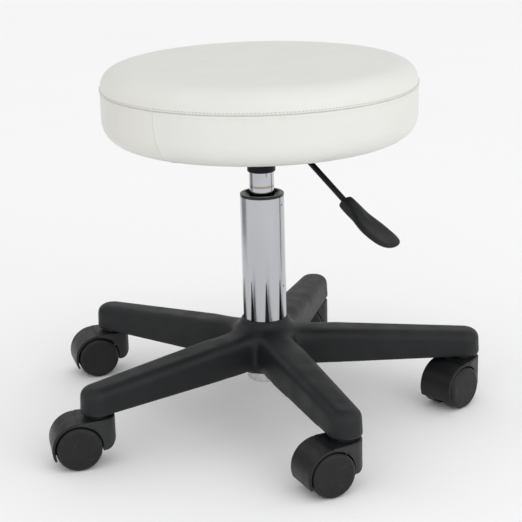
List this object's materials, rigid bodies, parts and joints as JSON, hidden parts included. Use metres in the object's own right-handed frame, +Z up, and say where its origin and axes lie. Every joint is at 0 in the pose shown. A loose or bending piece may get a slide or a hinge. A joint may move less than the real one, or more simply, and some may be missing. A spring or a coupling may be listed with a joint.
{
  "type": "stool",
  "caption": "Round padded stool on a gas-lift column, with a height lever and a five-armed base on twin-wheel casters.",
  "frame": {"origin": "on the floor, under the axis of the column", "axes": "+Z up along the column; -Y along the first base arm; the height lever lies 67 degrees clockwise from +X"},
  "size_m": [0.5145, 0.4723, 0.408],
  "materials": {
    "white_vinyl": "satin",
    "foam": "matte",
    "plywood": "matte",
    "black_cloth": "matte",
    "zinc_steel": "satin",
    "black_paint": "satin",
    "chrome": "polished",
    "ground_steel": "satin",
    "black_nylon": "matte",
    "black_hood": "satin",
    "black_wheel": "satin",
    "black_collar": "gloss",
    "black_rubber": "matte",
    "natural_nylon": "satin"
  },
  "bodies": {
    "root": {"star_base": "black_nylon", "column_tube": "black_paint", "column_end_cap": "zinc_steel", "chrome_sleeve": "chrome", "guide_bush": "black_collar", "thrust_washer_lower": "ground_steel", "stem_grip_rings": "ground_steel"},
    "rod": {"piston_rod": "ground_steel", "piston": "ground_steel", "thrust_washer_upper": "ground_steel", "ball_cage": "natural_nylon", "bearing_balls": "ground_steel", "rubber_buffer": "black_rubber", "retaining_clip": "zinc_steel"},
    "seat": {"pressure_tube": "chrome", "rod_gland": "natural_nylon", "valve_body": "ground_steel", "taper_socket": "black_paint", "seat_plate": "black_paint", "lever_bracket": "black_paint", "lever_pin": "zinc_steel", "plate_bolts": "zinc_steel", "plate_washers": "zinc_steel", "tee_nuts": "zinc_steel", "seat_board": "plywood", "seat_foam": "foam", "seat_cover_top": "white_vinyl", "seat_cover_band": "white_vinyl", "dust_cover": "black_cloth", "staples": "zinc_steel"},
    "lever": {"lever_rod": "black_paint", "lever_paddle": "black_hood"},
    "button": {"valve_pin": "ground_steel"},
    "caster_1": {"caster_1_hood": "black_hood", "caster_1_stem": "zinc_steel", "caster_1_axle": "zinc_steel"},
    "wheel_1_left": {"caster_1_wheel_left": "black_wheel"},
    "wheel_1_right": {"caster_1_wheel_right": "black_wheel"},
    "caster_2": {"caster_2_hood": "black_hood", "caster_2_stem": "zinc_steel", "caster_2_axle": "zinc_steel"},
    "wheel_2_left": {"caster_2_wheel_left": "black_wheel"},
    "wheel_2_right": {"caster_2_wheel_right": "black_wheel"},
    "caster_3": {"caster_3_hood": "black_hood", "caster_3_stem": "zinc_steel", "caster_3_axle": "zinc_steel"},
    "wheel_3_left": {"caster_3_wheel_left": "black_wheel"},
    "wheel_3_right": {"caster_3_wheel_right": "black_wheel"},
    "caster_4": {"caster_4_hood": "black_hood", "caster_4_stem": "zinc_steel", "caster_4_axle": "zinc_steel"},
    "wheel_4_left": {"caster_4_wheel_left": "black_wheel"},
    "wheel_4_right": {"caster_4_wheel_right": "black_wheel"},
    "caster_5": {"caster_5_hood": "black_hood", "caster_5_stem": "zinc_steel", "caster_5_axle": "zinc_steel"},
    "wheel_5_left": {"caster_5_wheel_left": "black_wheel"},
    "wheel_5_right": {"caster_5_wheel_right": "black_wheel"}
  },
  "joints": [
    {"name": "seat_swivel", "type": "hinge", "parent": "root", "child": "rod", "pos_m": [0, 0, 0], "axis": [0, 0, 1], "continuous": true},
    {"name": "seat_lift", "type": "slide", "parent": "rod", "child": "seat", "axis": [0, 0, 1], "range_m": [0, 0.127]},
    {"name": "lever_pull", "type": "hinge", "parent": "seat", "child": "lever", "pos_m": [0.01172, -0.02762, 0.3184], "axis": [-0.9205, -0.3907, 0], "range_deg": [0, 5.2], "stiffness_Nm_per_rad": 0.5},
    {"name": "valve_press", "type": "slide", "parent": "seat", "child": "button", "axis": [0, 0, -1], "range_m": [0, 0.003]},
    {"name": "caster_1_swivel", "type": "hinge", "parent": "root", "child": "caster_1", "pos_m": [0, -0.2319, 0.0584], "axis": [0, 0, 1], "continuous": true},
    {"name": "wheel_1_left_roll", "type": "hinge", "parent": "caster_1", "child": "wheel_1_left", "pos_m": [-0.02369, -0.23414, 0.025], "axis": [0.0941, -0.9956, 0], "continuous": true},
    {"name": "wheel_1_right_roll", "type": "hinge", "parent": "caster_1", "child": "wheel_1_right", "pos_m": [-0.02369, -0.23414, 0.025], "axis": [0.0941, -0.9956, 0], "continuous": true},
    {"name": "caster_2_swivel", "type": "hinge", "parent": "root", "child": "caster_2", "pos_m": [0.22055, -0.07166, 0.0584], "axis": [0, 0, 1], "continuous": true},
    {"name": "wheel_2_left_roll", "type": "hinge", "parent": "caster_2", "child": "wheel_2_left", "pos_m": [0.19884, -0.08142, 0.025], "axis": [0.4099, -0.9121, 0], "continuous": true},
    {"name": "wheel_2_right_roll", "type": "hinge", "parent": "caster_2", "child": "wheel_2_right", "pos_m": [0.19884, -0.08142, 0.025], "axis": [0.4099, -0.9121, 0], "continuous": true},
    {"name": "caster_3_swivel", "type": "hinge", "parent": "root", "child": "caster_3", "pos_m": [0.13631, 0.18761, 0.0584], "axis": [0, 0, 1], "continuous": true},
    {"name": "wheel_3_left_roll", "type": "hinge", "parent": "caster_3", "child": "wheel_3_left", "pos_m": [0.1126, 0.18554, 0.025], "axis": [0.0872, -0.9962, 0], "continuous": true},
    {"name": "wheel_3_right_roll", "type": "hinge", "parent": "caster_3", "child": "wheel_3_right", "pos_m": [0.1126, 0.18554, 0.025], "axis": [0.0872, -0.9962, 0], "continuous": true},
    {"name": "caster_4_swivel", "type": "hinge", "parent": "root", "child": "caster_4", "pos_m": [-0.13631, 0.18761, 0.0584], "axis": [0, 0, 1], "continuous": true},
    {"name": "wheel_4_left_roll", "type": "hinge", "parent": "caster_4", "child": "wheel_4_left", "pos_m": [-0.16008, 0.18873, 0.025], "axis": [-0.0471, -0.9989, 0], "continuous": true},
    {"name": "wheel_4_right_roll", "type": "hinge", "parent": "caster_4", "child": "wheel_4_right", "pos_m": [-0.16008, 0.18873, 0.025], "axis": [-0.0471, -0.9989, 0], "continuous": true},
    {"name": "caster_5_swivel", "type": "hinge", "parent": "root", "child": "caster_5", "pos_m": [-0.22055, -0.07166, 0.0584], "axis": [0, 0, 1], "continuous": true},
    {"name": "wheel_5_left_roll", "type": "hinge", "parent": "caster_5", "child": "wheel_5_left", "pos_m": [-0.24418, -0.0688, 0.025], "axis": [-0.1201, -0.9928, 0], "continuous": true},
    {"name": "wheel_5_right_roll", "type": "hinge", "parent": "caster_5", "child": "wheel_5_right", "pos_m": [-0.24418, -0.0688, 0.025], "axis": [-0.1201, -0.9928, 0], "continuous": true}
  ],
  "couplings": [
    {"joint": "valve_press", "follows": "lever_pull", "m_per_rad": 0.03}
  ]
}
